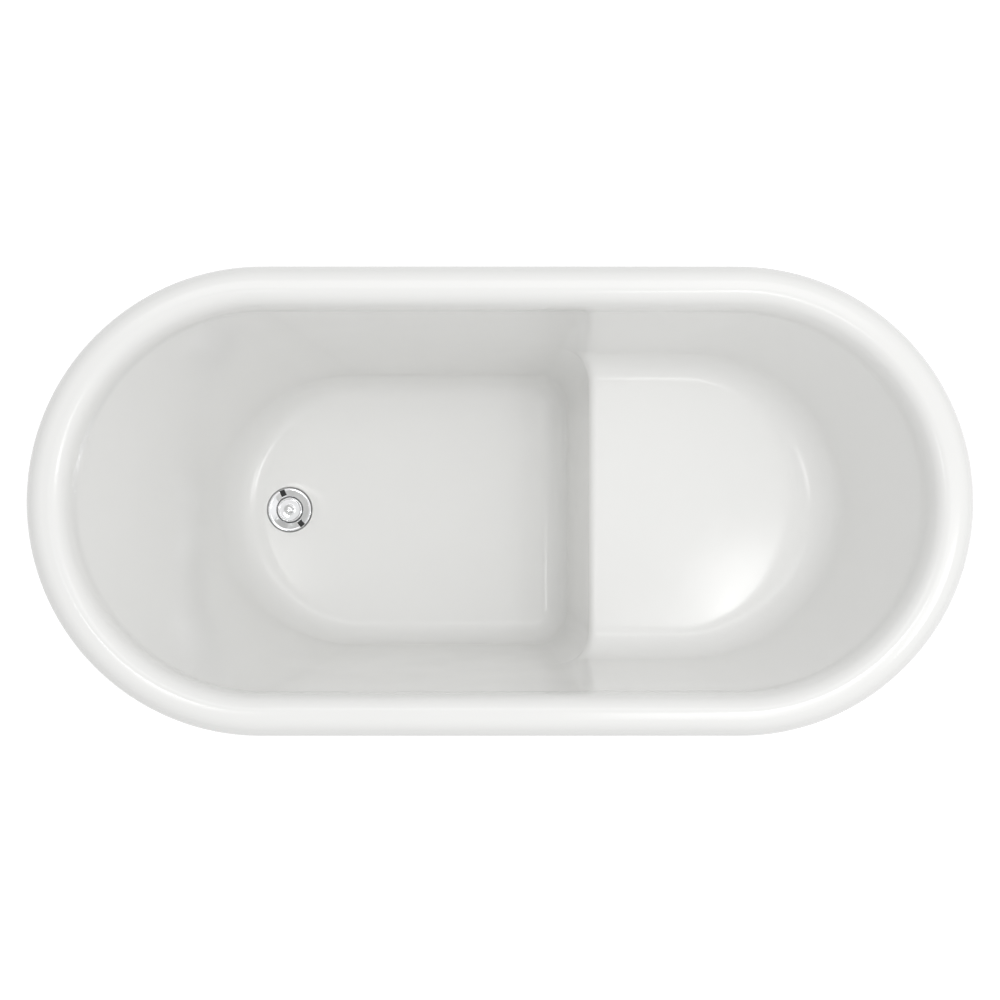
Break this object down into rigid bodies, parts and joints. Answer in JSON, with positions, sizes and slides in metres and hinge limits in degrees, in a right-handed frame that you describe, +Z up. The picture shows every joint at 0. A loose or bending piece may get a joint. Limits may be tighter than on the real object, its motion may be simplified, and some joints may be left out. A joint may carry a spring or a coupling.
{
  "type": "sit-in bathtub",
  "caption": "Free-standing stadium-shaped acrylic sit-in bathtub with a moulded seat, foot well, chrome waste with a knobbed stopper, steel underframe and levelling feet.",
  "frame": {"origin": "on the floor, under the middle of the tub's outline", "axes": "+X from the foot end to the seat end, +Y across the tub, +Z up"},
  "size_m": [1.2996, 0.645, 0.66],
  "materials": {
    "basin_acrylic": "high gloss white acrylic",
    "skirt_acrylic": "high gloss white acrylic",
    "sealant": "satin white sealant",
    "board": "raw plywood",
    "frame_steel": "galvanised square tube, satin",
    "bracket_zinc": "zinc plated strip",
    "fastener_steel": "zinc plated",
    "stud_steel": "zinc plated threaded rod",
    "pad_plastic": "black moulded nylon",
    "chrome": "polished chrome plate",
    "brass": "turned brass",
    "seal_rubber": "black rubber",
    "trap_plastic": "white polypropylene"
  },
  "bodies": {
    "tub": {"basin": "basin_acrylic", "skirt": "skirt_acrylic", "rim_bond": "sealant", "floor_board": "board", "seat_board": "board", "front_rail": "frame_steel", "back_rail": "frame_steel", "foot_end_crossbar": "frame_steel", "middle_crossbar": "frame_steel", "seat_end_crossbar": "frame_steel", "seat_post_1": "frame_steel", "seat_post_2": "frame_steel", "seat_post_3": "frame_steel", "seat_post_4": "frame_steel", "seat_bearer_front": "frame_steel", "seat_bearer_back": "frame_steel", "skirt_bracket_1": "bracket_zinc", "skirt_bracket_2": "bracket_zinc", "skirt_bracket_3": "bracket_zinc", "skirt_bracket_4": "bracket_zinc", "skirt_bracket_5": "bracket_zinc", "skirt_bracket_6": "bracket_zinc", "bracket_screws": "fastener_steel", "skirt_screws": "fastener_steel", "rail_bolts": "fastener_steel", "rail_nuts": "fastener_steel", "board_screws": "fastener_steel", "weld_nuts": "fastener_steel", "lock_nuts": "fastener_steel", "waste_body": "chrome", "waste_seal": "seal_rubber", "waste_gasket": "seal_rubber", "waste_backnut": "brass", "stopper_post": "brass", "trap_inlet_seal": "seal_rubber", "trap_inlet_nut": "trap_plastic", "trap_body": "trap_plastic", "trap_cup": "trap_plastic", "trap_cup_seal": "seal_rubber", "trap_outlet_nut": "trap_plastic", "trap_outlet_seal": "seal_rubber", "outlet_pipe": "trap_plastic"},
    "stopper_slider": {"stopper_sleeve": "brass", "stopper_seal": "seal_rubber"},
    "stopper_top": {"stopper_cap": "chrome", "stopper_knob": "chrome"},
    "foot_1": {"levelling_pad_1": "pad_plastic"},
    "stud_1": {"levelling_stud_1": "stud_steel"},
    "foot_2": {"levelling_pad_2": "pad_plastic"},
    "stud_2": {"levelling_stud_2": "stud_steel"},
    "foot_3": {"levelling_pad_3": "pad_plastic"},
    "stud_3": {"levelling_stud_3": "stud_steel"},
    "foot_4": {"levelling_pad_4": "pad_plastic"},
    "stud_4": {"levelling_stud_4": "stud_steel"},
    "foot_5": {"levelling_pad_5": "pad_plastic"},
    "stud_5": {"levelling_stud_5": "stud_steel"}
  },
  "joints": [
    {"name": "stopper_lift", "type": "slide", "parent": "tub", "child": "stopper_slider", "axis": [0, 0, 1], "range_m": [0, 0.01]},
    {"name": "stopper_turn", "type": "hinge", "parent": "stopper_slider", "child": "stopper_top", "pos_m": [-0.339, 0, 0.128], "axis": [0, 0, 1], "range_deg": [0, 90]},
    {"name": "foot_height_1", "type": "slide", "parent": "tub", "child": "foot_1", "axis": [0, 0, -1], "range_m": [-0.006, 0.01]},
    {"name": "stud_turn_1", "type": "hinge", "parent": "foot_1", "child": "stud_1", "pos_m": [-0.43, -0.13514, 0.05], "axis": [0, 0, -1], "range_deg": [-1240, 2060]},
    {"name": "foot_height_2", "type": "slide", "parent": "tub", "child": "foot_2", "axis": [0, 0, -1], "range_m": [-0.006, 0.01]},
    {"name": "stud_turn_2", "type": "hinge", "parent": "foot_2", "child": "stud_2", "pos_m": [-0.43, 0.13514, 0.05], "axis": [0, 0, -1], "range_deg": [-1240, 2060]},
    {"name": "foot_height_3", "type": "slide", "parent": "tub", "child": "foot_3", "axis": [0, 0, -1], "range_m": [-0.006, 0.01]},
    {"name": "stud_turn_3", "type": "hinge", "parent": "foot_3", "child": "stud_3", "pos_m": [0.43, -0.13514, 0.05], "axis": [0, 0, -1], "range_deg": [-1240, 2060]},
    {"name": "foot_height_4", "type": "slide", "parent": "tub", "child": "foot_4", "axis": [0, 0, -1], "range_m": [-0.006, 0.01]},
    {"name": "stud_turn_4", "type": "hinge", "parent": "foot_4", "child": "stud_4", "pos_m": [0.43, 0.13514, 0.05], "axis": [0, 0, -1], "range_deg": [-1240, 2060]},
    {"name": "foot_height_5", "type": "slide", "parent": "tub", "child": "foot_5", "axis": [0, 0, -1], "range_m": [-0.006, 0.01]},
    {"name": "stud_turn_5", "type": "hinge", "parent": "foot_5", "child": "stud_5", "pos_m": [0, 0, 0.05], "axis": [0, 0, -1], "range_deg": [-1240, 2060]}
  ],
  "couplings": [
    {"joint": "stud_turn_1", "follows": "foot_height_1", "rad_per_m": 3590.4},
    {"joint": "stud_turn_2", "follows": "foot_height_2", "rad_per_m": 3590.4},
    {"joint": "stud_turn_3", "follows": "foot_height_3", "rad_per_m": 3590.4},
    {"joint": "stud_turn_4", "follows": "foot_height_4", "rad_per_m": 3590.4},
    {"joint": "stud_turn_5", "follows": "foot_height_5", "rad_per_m": 3590.4}
  ]
}
